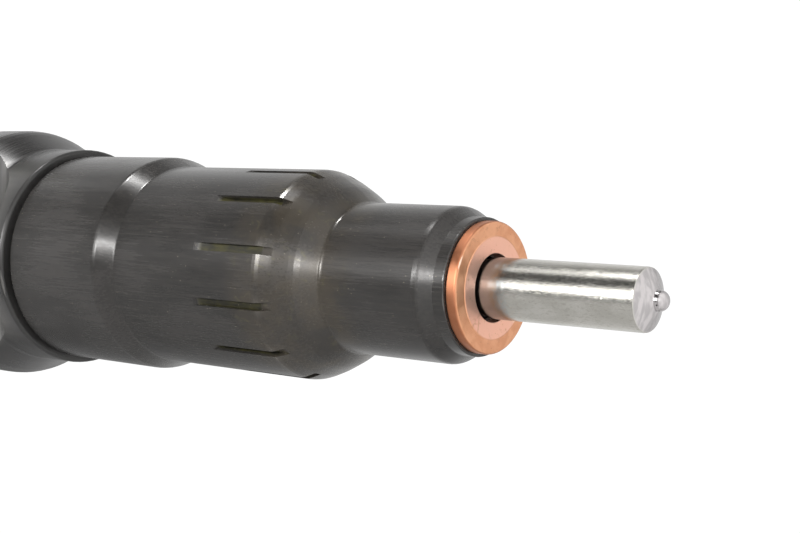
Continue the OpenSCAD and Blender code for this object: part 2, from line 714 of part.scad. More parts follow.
module ball_guide() {
    pocket_r = ball_d / 2 + 0.05;
    color("#b4b6b8")
        turned([[pocket_r, ball_z + 0.1], [recess_r - 1, ball_z + 0.1, 0.1],
            [recess_r - 1, ball_guide_top_z], [0, ball_guide_top_z],
            [0, ball_z + ball_d / 2 + 0.01], [pocket_r, ball_z + ball_d / 2 + 0.01]]);
}

module armature_guide() {
    color("#aaaba6") difference() {
        turned([[bolt_d / 2 + guide_gap, recess_top_z], [recess_r, recess_top_z],
            [recess_r, valve_top_z + flow_h], [flow_r, valve_top_z + flow_h], [flow_r, valve_top_z],
            [flange_d / 2, valve_top_z, 0.2], [flange_d / 2, guide_top_z, 0.3],
            [guide_sleeve_d / 2, guide_top_z], [guide_sleeve_d / 2, sleeve_top_z, 0.3],
            [bolt_d / 2 + guide_gap, sleeve_top_z]]);
        for (i = [0:2])
            rotate([0, 0, 30 + i * 120])
                translate([flow_r - 0.7, 0, 0])
                bore(0.6, valve_top_z + past / 2, guide_top_z + past);
        translate([-1.25, flow_r - 1, valve_top_z - past]) cube([2.5, flange_d, past + 1.2]);
    }
}

module valve_clamp_screw() {
    color("#6c6a66") difference() {
        ring(screw_bore_r, screw_r, guide_top_z, screw_top_z, 0.4);
        for (i = [0:1])
            rotate([0, 0, 45 + i * 90])
                translate([-screw_r - 1, -1, screw_top_z - 1.5])
                cube([2 * screw_r + 2, 2, 2]);
    }
}

module armature_bolt() {
    r = bolt_d / 2;
    foot_top_z = recess_top_z - armature_lift;
    color("#c6c6c2")
        turned([[0, ball_guide_top_z], [recess_r - 0.4, ball_guide_top_z, 0.1],
            [recess_r - 0.4, foot_top_z], [r, foot_top_z], [r, plate_top_z], [r - 0.35, plate_top_z],
            [r - 0.35, plate_top_z + clip_t], [r, plate_top_z + clip_t], [r, bolt_top_z, 0.3],
            [0, bolt_top_z]]);
}

module armature_plate() {
    plate_r = core_r - plate_inset;
    color("#8b8c88") difference() {
        turned([[bolt_d / 2 + guide_gap, plate_z], [bolt_d / 2 + 2.2, plate_z], [bolt_d / 2 + 3, plate_z + 0.4],
            [plate_r, plate_z + 0.8, 0.2], [plate_r, plate_top_z, 0.2],
            [bolt_d / 2 + guide_gap, plate_top_z]]);
        for (i = [0:5])
            rotate([0, 0, i * 60]) translate([plate_r - 2.6, 0, 0]) bore(0.9, plate_z - past, plate_top_z + past);
    }
}

module armature_clip() {
    r = bolt_d / 2;
    color("#77797c") difference() {
        ring(r - 0.33, core_bore_d / 2 - 0.6, plate_top_z, plate_top_z + clip_t);
        translate([0, -(r - 0.4), plate_top_z - past]) cube([core_bore_d, 2 * (r - 0.4), clip_t + 2 * past]);
    }
}

module armature_spring() {
    wire = 0.22;
    color("#6f7277")
        coil_spring(guide_sleeve_d / 2 + 0.2 + wire, wire, guide_top_z + 0.02, plate_z - 0.02, 5, 6, 20);
}

module lift_shim() {
    color("#c0c0bb") ring(chamber_r - 1.8, chamber_r - 0.1, ledge_z, spigot_z, 0.1);
}

module magnet_core() {
    color("#5e5f61") difference() {
        turned([[core_bore_d / 2, core_z], [coil_inner_r, core_z], [coil_inner_r, coil_top_z],
            [coil_outer_r, coil_top_z], [coil_outer_r, core_z], [core_r, core_z, 0.2],
            [core_r, core_top_z, 0.3], [1.2, core_top_z], [1.2, shim_seat_z],
            [core_bore_d / 2, shim_seat_z]]);
        at_leads() bore(lead_r + 0.5, coil_top_z - past, core_top_z + past);
    }
}

module coil_bobbin() {
    inner_r = coil_inner_r + 0.05;
    outer_r = coil_outer_r - 0.05;
    color("#2e4c3b") difference() {
        turned([[inner_r, core_z + 0.7], [outer_r, core_z + 0.7], [outer_r, core_z + 1.3],
            [inner_r + 0.45, core_z + 1.3], [inner_r + 0.45, coil_top_z - 0.7], [outer_r, coil_top_z - 0.7],
            [outer_r, coil_top_z - 0.1], [inner_r, coil_top_z - 0.1]]);
        at_leads() bore(lead_r + fit_gap, coil_top_z - 1, coil_top_z + past);
    }
}

// Outer surface of the winding: one half round per turn of wire
module coil_winding() {
    z0 = core_z + 1.3;
    turns = floor((coil_top_z - 0.7 - z0) / (2 * wire_r));
    pitch = (coil_top_z - 0.7 - z0) / turns;
    inner_r = coil_inner_r + 0.5;
    outer_r = inner_r + 7 * wire_r;
    color("#b5683a") rotate_extrude()
        polygon(concat([[inner_r, z0]],
            [for (i = [0:turns - 1])
                for (a = [-80:40:80])
                    [outer_r + pitch / 2 * (cos(a) - 1), z0 + pitch * (i + 0.5) + pitch / 2 * sin(a)]],
            [[inner_r, z0 + pitch * turns]]));
}

module coil_leads() {
    color("#b87333") at_leads() bore(lead_r, coil_top_z - 0.7, insulator_top_z);
}

module valve_spring() {
    wire = 0.45;
    color("#6f7277")
        coil_spring(bolt_d / 2 + 0.25 + wire, wire, plate_top_z + clip_t + 0.02, shim_seat_z - 1.02, 6);
}

module spring_adjust_shim() {
    color("#c0c0bb") ring(1, core_bore_d / 2 - 0.3, shim_seat_z - 1, shim_seat_z);
}

module solenoid_housing() {
    groove_low_z = spigot_z + 1;
    spigot_r = chamber_r - 0.1;
    seal_r = chamber_r - 1.4;
    color("#7b7a75") difference() {
        turned([[housing_bore_r, spigot_z], [spigot_r, spigot_z, 0.2], [spigot_r, groove_low_z],
            [seal_r, groove_low_z], [seal_r, groove_low_z + 1.6], [spigot_r, groove_low_z + 1.6],
            [spigot_r, body_top_z], [top_thread_r - 0.2, body_top_z, 0.2],
            [top_thread_r - 0.2, flange_top_z, 0.3], [housing_r, flange_top_z],
            [housing_r, housing_top_z, 0.4], [0, housing_top_z], [0, core_top_z],
            [housing_bore_r, core_top_z]]);
        at_leads() bore(lead_r + 0.5, core_top_z - past, housing_top_z + past);
    }
}

module solenoid_o_ring() {
    color("#1d1d1f") o_ring(chamber_r - 1.38, 1.34, spigot_z + 1.8);
}

module solenoid_nut() {
    hex_z = nut_top_z - nut_hex_len;
    color("#5a5753") difference() {
        union() {
            hexagon(2 * (top_thread_r + nut_wall), hex_z, nut_top_z);
            turned([[top_thread_r - 1, nut_bottom_z], [skirt_r, nut_bottom_z, 0.5], [skirt_r, hex_z + 1.5],
                [top_thread_r - 1, hex_z + 1.5]]);
        }
        bore(top_thread_r + fit_gap, nut_bottom_z - past, flange_top_z);
        bore(housing_r + 0.2, nut_bottom_z, nut_top_z + past);
        turned([[0, nut_bottom_z - past], [top_thread_r + 1.1, nut_bottom_z - past],
            [top_thread_r - 0.4, nut_bottom_z + 1], [0, nut_bottom_z + 1]]);
    }
}

module insulator_plate() {
    color("#c9b98a") difference() {
        ring(0, housing_r - 0.6, housing_top_z, insulator_top_z);
        at_leads() bore(lead_r + fit_gap, housing_top_z - past, insulator_top_z + past);
    }
}

module terminal_cap() {
    skirt_z = housing_top_z - cap_skirt_len;
    foot_top_z = insulator_top_z + foot_t;
    color("#232323") difference() {
        union() {
            turned([[0, skirt_z], [cap_r, skirt_z, 0.4], [cap_r, cap_top_z - 1.8],
                [cap_r - 0.8, cap_top_z - 1.2], [cap_r - 1, cap_top_z, 0.6], [0, cap_top_z]]);
            translate([-0.9, 2.5 - cap_r, cap_top_z - 1]) cube([1.8, 2 * cap_r - 5, rib_h + 1]);
            for (i = [0:11])
                rotate([0, 0, i * 30 + 15])
                    translate([cap_r - 0.5, -1, skirt_z + 2])
                    cube([0.9, 2, cap_top_z - skirt_z - 5]);
        }
        bore(housing_r + fit_gap, skirt_z - past, insulator_top_z);
        at_studs() bore(stud_d / 2 + 1.1, insulator_top_z - past, foot_top_z + 0.05);
        at_studs() bore(stud_shank_r + 1.3, insulator_top_z - past, foot_top_z + 1.6);
        at_studs() bore(stud_shank_r + fit_gap, foot_top_z, cap_top_z + past);
    }
}

module terminal_studs() {
    foot_top_z = insulator_top_z + foot_t;
    color("#b9b8b2") at_studs()
        turned([[0, insulator_top_z], [stud_d / 2 + 1.05, insulator_top_z, 0.1],
            [stud_d / 2 + 1.05, foot_top_z, 0.1], [stud_shank_r, foot_top_z],
            [stud_shank_r, terminal_nut_z + terminal_nut_t + 0.2],
            [stud_d / 2, terminal_nut_z + terminal_nut_t + 0.4], [stud_d / 2, cap_top_z + stud_len - 0.6], [stud_d / 2 - 0.6, cap_top_z + stud_len],
            [0, cap_top_z + stud_len]]);
}

module stud_seals() {
    section = 1.24;
    color("#1d1d1f") at_studs()
        o_ring(stud_shank_r + 0.02, section, insulator_top_z + foot_t + section / 2 + 0.1);
}

module terminal_washers() {
    color("#c2c2bd") at_studs()
        ring(stud_d / 2 + 0.15, stud_d / 2 + 2.2, cap_top_z, terminal_nut_z, 0.1);
}

module terminal_nuts() {
    end_z = terminal_nut_z + terminal_nut_t;
    color("#b5b4ad") at_studs() difference() {
        hexagon(terminal_nut_af, terminal_nut_z, end_z);
        bore(stud_shank_r + fit_gap, terminal_nut_z - past, end_z + past);
    }
}

nozzle_body();
nozzle_needle();
sealing_washer();
nozzle_nut();
stop_disc();
dowel_pins();
pressure_pin();
nozzle_spring();
spring_shim();
control_plunger();
injector_body();
inlet_connector();
edge_filter();
inlet_seal_ring();
body_o_ring();
backup_ring();
valve_piece();
sleeve_seal_ring();
valve_ball();
ball_guide();
armature_guide();
valve_clamp_screw();
armature_bolt();
armature_plate();
armature_clip();
armature_spring();
lift_shim();
magnet_core();
coil_bobbin();
coil_winding();
coil_leads();
valve_spring();
spring_adjust_shim();
solenoid_housing();
solenoid_o_ring();
solenoid_nut();
insulator_plate();
terminal_cap();
terminal_studs();
stud_seals();
terminal_washers();
terminal_nuts();
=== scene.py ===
import json
import math

import bmesh
import bpy
from mathutils import Matrix, Vector


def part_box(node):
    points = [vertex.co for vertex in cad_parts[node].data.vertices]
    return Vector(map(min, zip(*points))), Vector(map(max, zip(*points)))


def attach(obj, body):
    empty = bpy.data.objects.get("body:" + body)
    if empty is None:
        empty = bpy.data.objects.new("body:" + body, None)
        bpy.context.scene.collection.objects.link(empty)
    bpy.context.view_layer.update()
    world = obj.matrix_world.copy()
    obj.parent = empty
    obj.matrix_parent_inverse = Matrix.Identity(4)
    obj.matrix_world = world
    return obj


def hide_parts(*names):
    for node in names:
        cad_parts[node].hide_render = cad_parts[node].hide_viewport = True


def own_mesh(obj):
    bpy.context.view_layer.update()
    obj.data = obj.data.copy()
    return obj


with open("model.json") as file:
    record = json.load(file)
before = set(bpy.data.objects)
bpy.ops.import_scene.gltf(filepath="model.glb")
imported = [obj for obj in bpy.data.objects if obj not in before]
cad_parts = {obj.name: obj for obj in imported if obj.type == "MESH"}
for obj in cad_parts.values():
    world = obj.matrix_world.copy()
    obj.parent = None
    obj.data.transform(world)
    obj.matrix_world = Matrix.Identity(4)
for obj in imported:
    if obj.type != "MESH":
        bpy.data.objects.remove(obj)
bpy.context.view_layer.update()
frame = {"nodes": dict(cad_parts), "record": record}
scene = bpy.context.scene
scene.view_settings.view_transform = "Standard"

MM = 0.001

# the camera looks at the nozzle's near side, with the injector's axis running to the left
CAMERA_PLACE = (0.00741, -0.13400, -0.09016)
CAMERA_RIGHT = (0.04362, 0.61299, -0.78889)
CAMERA_DOWN = (-0.99847, 0.0, -0.05521)
CAMERA_FORWARD = (-0.03385, 0.79009, 0.61205)
LENS = 64.54
SENSOR_WIDTH = 36.0

FLOOR_Z = -0.15
FLOOR_HALF = 3.0
BACKDROP_STRENGTH = 1.05


# ---------------------------------------------------------------- camera, floor and light
def add_camera():
    right, down, forward = map(Vector, (CAMERA_RIGHT, CAMERA_DOWN, CAMERA_FORWARD))
    basis = Matrix((right, -down, -forward)).transposed().to_4x4()
    cam = bpy.data.cameras.new("camera")
    cam.lens = LENS
    cam.sensor_width = SENSOR_WIDTH
    cam.clip_start = 0.005
    cam.clip_end = 20.0
    obj = bpy.data.objects.new("camera", cam)
    obj.matrix_world = Matrix.Translation(CAMERA_PLACE) @ basis
    scene.collection.objects.link(obj)
    scene.camera = obj


def add_area(name, toward, distance, size, power, target=(0, 0, 0.03)):
    """Softbox seen from the target in the direction `toward`, facing the target."""
    light = bpy.data.lights.new(name, "AREA")
    light.shape = "RECTANGLE"
    light.size, light.size_y = size
    light.energy = power
    obj = bpy.data.objects.new(name, light)
    direction = Vector(toward).normalized()
    obj.location = Vector(target) + direction * distance
    obj.rotation_euler = direction.to_track_quat("Z", "Y").to_euler()
    obj.visible_camera = False
    scene.collection.objects.link(obj)


def add_floor():
    mesh = bpy.data.meshes.new("floor")
    grid = bmesh.new()
    bmesh.ops.create_grid(grid, x_segments=8, y_segments=8, size=FLOOR_HALF)
    grid.to_mesh(mesh)
    grid.free()
    floor = bpy.data.objects.new("floor", mesh)
    floor.location = (0, 0, FLOOR_Z)
    scene.collection.objects.link(floor)
    mat = bpy.data.materials.new("floor")
    mat.use_nodes = True
    bsdf = mat.node_tree.nodes["Principled BSDF"]
    bsdf.inputs["Base Color"].default_value = (0.86, 0.86, 0.86, 1)
    bsdf.inputs["Roughness"].default_value = 0.7
    mesh.materials.append(mat)


# brightness of the surroundings by azimuth in degrees, measured from -Y toward +X
LOW_LEVELS = [
    (-180, 0.60), (-160, 0.75), (-144, 0.90), (-131, 0.82), (-112, 0.72), (-60, 0.70),
    (-18, 0.70), (-10, 0.32), (-4, 0.10), (4, 0.10), (10, 1.8), (28, 1.8),
    (34, 0.35), (42, 0.08), (70, 0.06), (75, 1.3), (84, 1.3), (90, 0.18),
    (102, 0.22), (114, 0.42), (128, 0.80), (144, 0.90), (160, 1.0), (180, 0.60),
]
HIGH_LEVELS = [
    (-180, 0.60), (-160, 0.42), (-144, 0.28), (-100, 0.22), (-70, 0.36), (-40, 0.55),
    (-10, 0.60), (4, 0.48), (16, 0.50), (30, 0.40), (60, 0.26), (80, 0.34),
    (96, 0.45), (114, 0.75), (144, 1.0), (180, 0.70),
]
# where one level turns into the next, as the height of the direction (its unit vector's Z)
LOW_TO_HIGH = (0.58, 0.72)
HIGH_TO_CAP = (0.84, 0.94)
LOW_TO_GROUND = (-0.05, -0.40)


def add_world():
    """White studio: white where the camera looks past the object, soft strips of light around."""
    world = bpy.data.worlds.new("studio")
    scene.world = world
    world.use_nodes = True
    tree = world.node_tree
    tree.nodes.clear()

    def node(kind, **props):
        n = tree.nodes.new(kind)
        for key, value in props.items():
            setattr(n, key, value)
        return n

    def link(a, b):
        tree.links.new(a, b)

    def map_range(value, low, high):
        n = node("ShaderNodeMapRange", interpolation_type="SMOOTHSTEP")
        link(value, n.inputs["Value"])
        n.inputs["From Min"].default_value = low
        n.inputs["From Max"].default_value = high
        return n.outputs[0]

    def around(turn, levels):
        strips = node("ShaderNodeValToRGB")
        link(turn, strips.inputs[0])
        peak = max(v for _, v in levels)
        ramp = strips.color_ramp
        while len(ramp.elements) > 1:
            ramp.elements.remove(ramp.elements[-1])
        for i, (angle, value) in enumerate(levels):
            e = ramp.elements[0] if i == 0 else ramp.elements.new((angle + 180) / 360)
            e.position = (angle + 180) / 360
            e.color = (value / peak,) * 3 + (1,)
        scale = node("ShaderNodeVectorMath", operation="SCALE")
        link(strips.outputs[0], scale.inputs[0])
        scale.inputs["Scale"].default_value = peak
        return scale.outputs[0]

    def mix(factor, a, b):
        n = node("ShaderNodeMix", data_type="RGBA")
        link(factor, n.inputs["Factor"])
        link(a, n.inputs["A"])
        if isinstance(b, tuple):
            n.inputs["B"].default_value = b
        else:
            link(b, n.inputs["B"])
        return n.outputs["Result"]

    coord = node("ShaderNodeTexCoord")
    split = node("ShaderNodeSeparateXYZ")
    link(coord.outputs["Generated"], split.inputs[0])
    minus_y = node("ShaderNodeMath", operation="MULTIPLY")
    link(split.outputs["Y"], minus_y.inputs[0])
    minus_y.inputs[1].default_value = -1.0
    turn = node("ShaderNodeMath", operation="ARCTAN2")
    link(split.outputs["X"], turn.inputs[0])
    link(minus_y.outputs[0], turn.inputs[1])
    share = node("ShaderNodeMapRange")
    link(turn.outputs[0], share.inputs["Value"])
    share.inputs["From Min"].default_value = -math.pi
    share.inputs["From Max"].default_value = math.pi
    low = around(share.outputs[0], LOW_LEVELS)
    high = around(share.outputs[0], HIGH_LEVELS)
    z = split.outputs["Z"]
    white = (1.0, 1.0, 1.0, 1)
    sides = mix(map_range(z, *LOW_TO_HIGH), low, high)
    capped = mix(map_range(z, *HIGH_TO_CAP), sides, white)
    full = mix(map_range(z, *LOW_TO_GROUND), capped, white)
    surround = node("ShaderNodeBackground")
    link(full, surround.inputs["Color"])
    backdrop = node("ShaderNodeBackground")
    backdrop.inputs["Color"].default_value = white
    backdrop.inputs["Strength"].default_value = BACKDROP_STRENGTH
    path = node("ShaderNodeLightPath")
    choose = node("ShaderNodeMixShader")
    link(path.outputs["Is Camera Ray"], choose.inputs[0])
    link(surround.outputs[0], choose.inputs[1])
    link(backdrop.outputs[0], choose.inputs[2])
    out = node("ShaderNodeOutputWorld")
    link(choose.outputs[0], out.inputs["Surface"])


add_camera()
add_floor()
add_world()
add_area("front_box", (0.22, -0.95, 0.28), 0.55, (0.045, 0.045), 1.7)
add_area("upper_box", (0.96, -0.10, 0.28), 0.55, (0.045, 0.035), 0.9)
add_area("step_box", (0.27, -0.96, 0.03), 0.55, (0.04, 0.04), 0.5)
add_area("shoulder_box", (0.223, -0.893, -0.391), 0.25, (0.024, 0.024), 0.20, (0, 0, 0.0036))
add_area("overhead_box", (0.05, 0.05, 1.0), 0.7, (0.7, 0.7), 3.0)


# ---------------------------------------------------------------- materials
def opaque(color):
    """A plain colour with its alpha; a socket stays as it is."""
    return (*color, 1) if isinstance(color, tuple) else color


def toned(color, factor, lift=0.0):
    """The colour made lighter or darker by a factor, then lifted."""
    return tuple(min(1.0, c * factor + lift) for c in color)


IOR = 1.5
EDGE_WEAR_AND_SHEEN_RANGE = (0.53, 0.60)     # pointiness from which a convex edge starts to be and is all worn; on the copper washer this edge is a painted highlight


class Finish:
    """A procedural material. Texture places are in millimetres, in the part's own frame."""

    def __init__(self, name):
        self.mat = bpy.data.materials.new(name)
        self.mat.use_nodes = True
        self.tree = self.mat.node_tree
        self.bsdf = self.tree.nodes["Principled BSDF"]
        coord = self.node("ShaderNodeTexCoord")
        scale = self.node("ShaderNodeVectorMath", operation="SCALE")
        self.link(coord.outputs["Object"], scale.inputs[0])
        scale.inputs["Scale"].default_value = 1 / MM
        self.place = scale.outputs[0]
        split = self.node("ShaderNodeSeparateXYZ")
        self.link(self.place, split.inputs[0])
        self.x, self.y, self.z = split.outputs

    def node(self, kind, **props):
        n = self.tree.nodes.new(kind)
        for key, value in props.items():
            setattr(n, key, value)
        return n

    def link(self, a, b):
        self.tree.links.new(a, b)

    def put(self, value, socket):
        if isinstance(value, bpy.types.NodeSocket):
            self.link(value, socket)
        else:
            socket.default_value = value

    def math(self, operation, a, b=0.0):
        n = self.node("ShaderNodeMath", operation=operation)
        self.put(a, n.inputs[0])
        self.put(b, n.inputs[1])
        return n.outputs[0]

    def stretched(self, sx, sy, sz):
        n = self.node("ShaderNodeVectorMath", operation="MULTIPLY")
        self.link(self.place, n.inputs[0])
        n.inputs[1].default_value = (sx, sy, sz)
        return n.outputs[0]

    def noise(self, scale, detail=3.0, rough=0.5, distort=0.0):
        n = self.node("ShaderNodeTexNoise")
        self.link(self.stretched(*scale), n.inputs["Vector"])
        n.inputs["Scale"].default_value = 1.0
        n.inputs["Detail"].default_value = detail
        n.inputs["Roughness"].default_value = rough
        n.inputs["Distortion"].default_value = distort
        return n.outputs["Fac"]

    def cells(self, scale):
        n = self.node("ShaderNodeTexVoronoi")
        self.link(self.stretched(*scale), n.inputs["Vector"])
        n.inputs["Scale"].default_value = 1.0
        return n.outputs["Distance"]

    def ramp(self, value, low, high, out_low=0.0, out_high=1.0):
        n = self.node("ShaderNodeMapRange", interpolation_type="SMOOTHSTEP")
        self.put(value, n.inputs["Value"])
        n.inputs["From Min"].default_value = low
        n.inputs["From Max"].default_value = high
        n.inputs["To Min"].default_value = out_low
        n.inputs["To Max"].default_value = out_high
        return n.outputs["Result"]

    def mix(self, factor, a, b):
        n = self.node("ShaderNodeMix", data_type="RGBA")
        self.put(factor, n.inputs["Factor"])
        self.put(opaque(a), n.inputs["A"])
        self.put(opaque(b), n.inputs["B"])
        return n.outputs["Result"]

    def radius(self):
        squares = [self.math("MULTIPLY", axis, axis) for axis in (self.x, self.y)]
        return self.math("SQRT", self.math("ADD", *squares))

    def band(self, value, low, high, soft):
        """1 between low and high, falling to 0 over `soft` outside."""
        rise = self.ramp(value, low - soft, low)
        fall = self.ramp(value, high, high + soft, 1.0, 0.0)
        return self.math("MULTIPLY", rise, fall)

    def edge_wear_and_sheen(self, strength):
        """High on convex edges, from the mesh's own curvature: edge wear, and on the copper washer
        a painted highlight.
        """
        geo = self.node("ShaderNodeNewGeometry")
        return self.ramp(geo.outputs["Pointiness"], *EDGE_WEAR_AND_SHEEN_RANGE, 0.0, strength)

    def blend(self, a, share_a, b, share_b):
        return self.math("ADD", self.math("MULTIPLY", a, share_a),
                         self.math("MULTIPLY", b, share_b))

    def bump(self, height, strength, distance):
        """Bump with its depth in millimetres."""
        n = self.node("ShaderNodeBump")
        n.inputs["Strength"].default_value = strength
        n.inputs["Distance"].default_value = distance * MM
        self.link(height, n.inputs["Height"])
        self.link(n.outputs["Normal"], self.bsdf.inputs["Normal"])

    def surface(self, color, rough, metallic, coat=0.0, coat_rough=0.2):
        self.put(opaque(color), self.bsdf.inputs["Base Color"])
        self.put(rough, self.bsdf.inputs["Roughness"])
        self.bsdf.inputs["Metallic"].default_value = metallic
        self.bsdf.inputs["IOR"].default_value = IOR
        self.bsdf.inputs["Coat Weight"].default_value = coat
        self.bsdf.inputs["Coat Roughness"].default_value = coat_rough
        return self.mat


DARK_STEEL_METALLIC = 0.30   # burnished and phosphated layers are only partly metallic


def nut_steel():
    """Dark burnished steel, drawn lengthwise, with heat tint and stains on the cone."""
    f = Finish("nut_steel")
    cloud = f.noise((0.16, 0.16, 0.07), 3)
    along = f.noise((3.4, 3.4, 0.16), 4, 0.6)
    hair = f.noise((12, 12, 0.6), 2)
    color = f.mix(f.ramp(cloud, 0.35, 0.65), (0.024, 0.0228, 0.0217), (0.034, 0.032, 0.0305))
    color = f.mix(f.ramp(along, 0.38, 0.70, 0.0, 0.40), color, (0.044, 0.040, 0.036))
    color = f.mix(f.ramp(hair, 0.60, 0.72, 0.0, 0.25), color, (0.075, 0.070, 0.062))
    color = f.mix(f.ramp(hair, 0.28, 0.40, 0.20, 0.0), color, (0.014, 0.0135, 0.013))
    # heat tint on the cone and the front of the grip
    cone = f.band(f.z, 17.5, 26.0, 5.0)
    blotch = f.noise((0.28, 0.28, 0.22), 4, 0.6, 0.5)
    tint = f.math("MULTIPLY", cone, f.ramp(blotch, 0.36, 0.68, 0.15, 0.55))
    color = f.mix(tint, color, (0.058, 0.047, 0.032))
    stain = f.noise((0.7, 0.7, 0.45), 5, 0.65, 1.0)
    pale = f.math("MULTIPLY", cone, f.ramp(stain, 0.57, 0.70, 0.0, 0.35))
    color = f.mix(pale, color, (0.100, 0.092, 0.045))
    # slots keep oil and a yellowish tarnish
    below_grip = f.ramp(f.radius(), 12.45, 12.75, 1.0, 0.0)
    slot = f.math("MULTIPLY", f.band(f.z, 20.0, 38.0, 0.3), below_grip)
    slot = f.math("MULTIPLY", slot, f.ramp(f.z, 24.6, 25.0))
    oil = f.ramp(f.noise((0.9, 0.9, 0.35), 3, 0.6), 0.35, 0.65)
    color = f.mix(slot, color, f.mix(oil, (0.010, 0.009, 0.004), (0.042, 0.038, 0.009)))
    # tiny bright specks
    speck = f.ramp(f.cells((1.7, 1.7, 1.3)), 0.05, 0.09, 1.0, 0.0)
    some = f.ramp(f.noise((0.35, 0.35, 0.3), 1), 0.52, 0.58)
    color = f.mix(f.math("MULTIPLY", speck, some), color, (0.26, 0.23, 0.18))
    color = f.mix(f.edge_wear_and_sheen(0.45), color, (0.14, 0.13, 0.12))
    rough = f.math("ADD", f.ramp(along, 0.3, 0.7, 0.22, 0.28),
                   f.ramp(cloud, 0.35, 0.65, -0.02, 0.04))
    rough = f.math("SUBTRACT", rough, f.edge_wear_and_sheen(0.07))
    rough = f.math("ADD", rough, f.math("MULTIPLY", slot, 0.35))
    f.bump(f.blend(along, 0.5, hair, 0.5), 0.12, 0.012)
    return f.surface(color, rough, DARK_STEEL_METALLIC)


def body_steel():
    """Phosphated and oiled steel, turned: fine rings around the axis."""
    f = Finish("body_steel")
    cloud = f.noise((0.12, 0.12, 0.10), 3)
    rings = f.noise((0.10, 0.10, 5.0), 2)
    grain = f.noise((6, 6, 6), 3)
    color = f.mix(f.ramp(cloud, 0.35, 0.65), (0.021, 0.0203, 0.0198), (0.031, 0.030, 0.029))
    color = f.mix(f.ramp(rings, 0.45, 0.7, 0.0, 0.30), color, (0.042, 0.040, 0.038))
    color = f.mix(f.ramp(grain, 0.62, 0.74, 0.0, 0.35), color, (0.065, 0.061, 0.055))
    color = f.mix(f.edge_wear_and_sheen(0.5), color, (0.16, 0.155, 0.145))
    rough = f.math("ADD", f.ramp(rings, 0.3, 0.7, 0.27, 0.34),
                   f.ramp(cloud, 0.35, 0.65, -0.03, 0.05))
    f.bump(f.blend(rings, 0.5, grain, 0.5), 0.15, 0.012)
    return f.surface(color, rough, DARK_STEEL_METALLIC)


def nozzle_steel():
    """Ground nozzle steel: short grain along the shank, a smoother tip with a few dull streaks."""
    f = Finish("nozzle_steel")
    tip = f.ramp(f.z, -19.40, -19.25, 1.0, 0.0)
    grain = f.noise((4.6, 4.6, 2.0), 3, 0.65)
    fine = f.noise((9.5, 9.5, 4.5), 2)
    cloud = f.noise((0.5, 0.5, 0.25), 2)
    color = f.mix(f.ramp(cloud, 0.35, 0.65), (0.50, 0.487, 0.445), (0.57, 0.555, 0.515))
    color = f.mix(f.ramp(grain, 0.52, 0.68, 0.0, 0.35), color, (0.33, 0.32, 0.26))
    color = f.mix(f.ramp(fine, 0.60, 0.74, 0.0, 0.35), color, (0.70, 0.68, 0.63))
    streak = f.noise((0.55, 1.5, 0.5), 2, 0.5, 0.3)
    face = f.mix(f.ramp(streak, 0.40, 0.60), (0.43, 0.41, 0.41), (0.57, 0.54, 0.54))
    # painted shade: the shank turns darker and bluish grey towards the washer, damping the
    # washer's reflection in it
    color = f.mix(f.ramp(f.z, -4.2, -2.2, 0.0, 0.9), color, (0.22, 0.27, 0.29))
    color = f.mix(tip, color, face)
    rough_shank = f.ramp(grain, 0.30, 0.70, 0.14, 0.27)
    rough = f.math("MULTIPLY", rough_shank,
                   f.math("SUBTRACT", 1.0, f.math("MULTIPLY", tip, 0.25)))
    off_tip = f.math("SUBTRACT", 1.0, f.math("MULTIPLY", tip, 0.85))
    f.bump(f.math("MULTIPLY", f.blend(grain, 0.6, fine, 0.4), off_tip), 0.75, 0.035)
    return f.surface(color, rough, 1.0)


def copper():
    """Annealed copper washer: pink pressed land, browner rim, a few stains."""
    f = Finish("copper")
    r = f.radius()
    cloud = f.noise((0.45, 0.45, 0.6), 4, 0.6, 0.6)
    fine = f.noise((5, 5, 5), 3, 0.6)
    color = f.mix(f.ramp(cloud, 0.35, 0.68), (0.63, 0.29, 0.155), (0.74, 0.385, 0.225))
    land = f.ramp(r, 5.65, 5.95, 1.0, 0.0)
    color = f.mix(f.math("MULTIPLY", land, 0.75), color, (0.86, 0.50, 0.39))
    side = f.ramp(r, 7.38, 7.5)
    color = f.mix(f.math("MULTIPLY", side, 0.75), color, (0.34, 0.115, 0.055))
    stain = f.ramp(f.noise((0.8, 0.8, 0.8), 5, 0.65, 1.2), 0.57, 0.70, 0.0, 0.55)
    color = f.mix(stain, color, (0.45, 0.21, 0.11))
    pit = f.ramp(f.cells((1.5, 1.5, 1.5)), 0.05, 0.09, 0.8, 0.0)
    color = f.mix(pit, color, (0.30, 0.13, 0.06))
    # painted highlight: the washer's convex edges turn pale pink, standing in for the light caught
    # on its chamfer
    color = f.mix(f.edge_wear_and_sheen(0.8), color, (0.92, 0.70, 0.56))
    rough = f.ramp(cloud, 0.3, 0.7, 0.34, 0.48)
    f.bump(f.blend(fine, 0.4, cloud, 0.6), 0.35, 0.04)
    return f.surface(color, rough, 1.0)


def metal(name, dark, light, rough, streak=(0.15, 0.15, 6.0), bump=0.25):
    """Machined metal: a soft cloud of tone, turning or drawing marks, fine grain, worn edges."""
    f = Finish(name)
    cloud = f.noise((0.25, 0.25, 0.2), 3)
    marks = f.noise(streak, 3, 0.55)
    grain = f.noise((8, 8, 8), 2)
    color = f.mix(f.ramp(cloud, 0.33, 0.67), dark, light)
    color = f.mix(f.ramp(marks, 0.50, 0.72, 0.0, 0.35), color, toned(light, 1.35))
    color = f.mix(f.ramp(grain, 0.60, 0.75, 0.0, 0.30), color, toned(dark, 0.6))
    color = f.mix(f.edge_wear_and_sheen(0.5), color, toned(light, 1.5, 0.03))
    roughness = f.math("ADD", f.ramp(marks, 0.3, 0.7, rough - 0.05, rough + 0.06),
                       f.ramp(cloud, 0.3, 0.7, -0.02, 0.03))
    f.bump(f.blend(marks, 0.6, grain, 0.4), bump, 0.02)
    return f.surface(color, roughness, 1.0)


